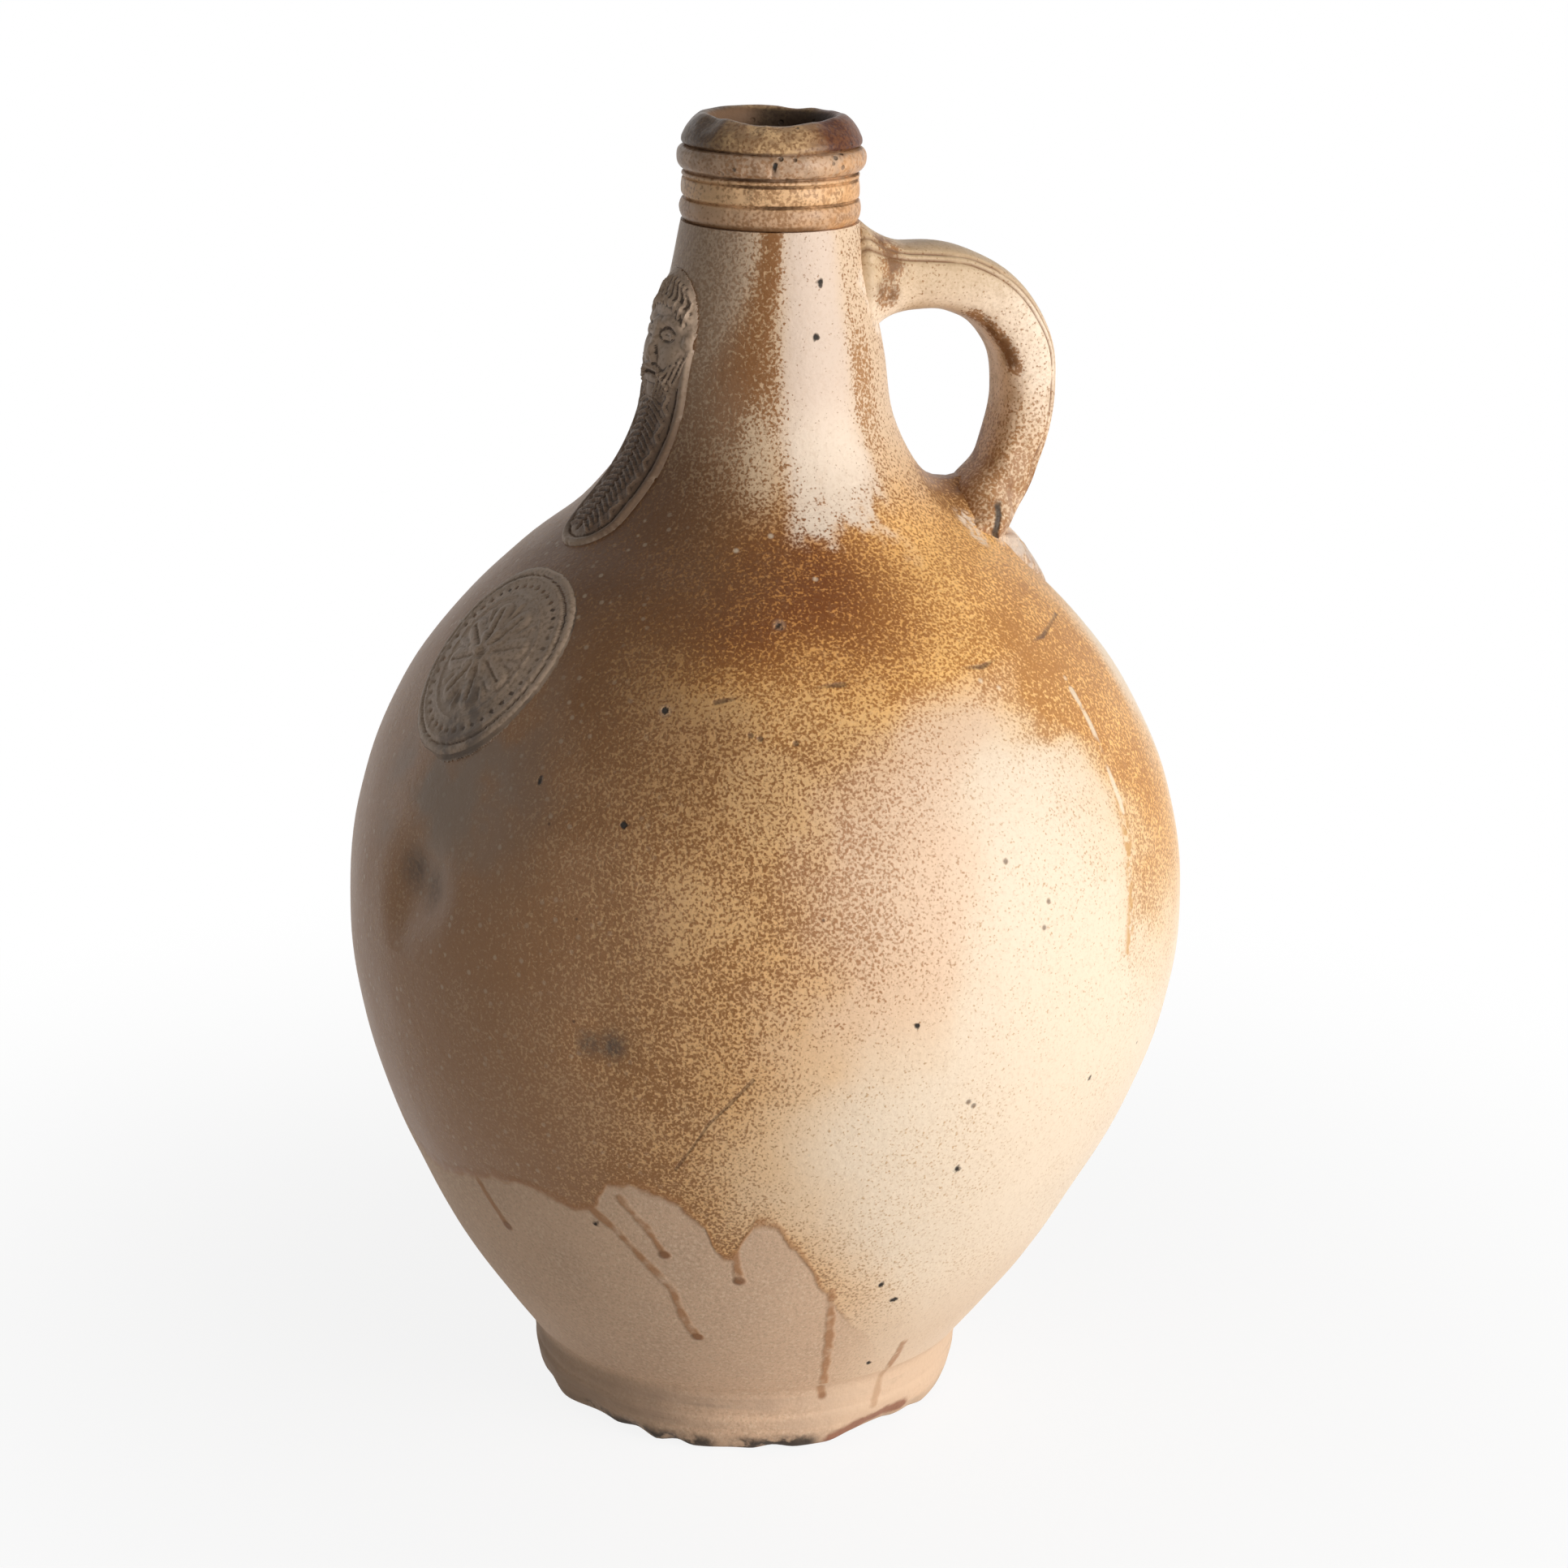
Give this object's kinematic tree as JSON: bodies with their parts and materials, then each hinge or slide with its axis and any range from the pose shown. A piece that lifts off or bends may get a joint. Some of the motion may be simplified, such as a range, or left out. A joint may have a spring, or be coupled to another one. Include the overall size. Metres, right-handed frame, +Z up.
{
  "type": "stoneware jug",
  "caption": "Round-bellied salt-glazed stoneware jug with a narrow cordoned neck, strap handle, moulded bearded mask and oval medallion, for storing and pouring drink.",
  "frame": {"origin": "centre of the standing ring, on the table", "axes": "+Z up along the jug's axis, +X towards the handle, the mask faces -X"},
  "size_m": [0.2052, 0.2052, 0.32],
  "materials": {
    "salt_glaze": "mottled brown salt glaze",
    "collar_glaze": "brown salt glaze, worn",
    "handle_glaze": "buff salt glaze with brown flecks",
    "sprig_glaze": "grey-brown salt glaze, worn",
    "bare_clay": "bare fired stoneware"
  },
  "bodies": {
    "root": {"foot_ring": "bare_clay", "belly": "salt_glaze", "shoulder": "salt_glaze", "neck": "salt_glaze", "collar": "collar_glaze", "lip": "collar_glaze", "handle": "handle_glaze", "handle_tail": "handle_glaze", "face_mask": "sprig_glaze", "beard": "sprig_glaze", "medallion": "sprig_glaze"}
  },
  "joints": []
}
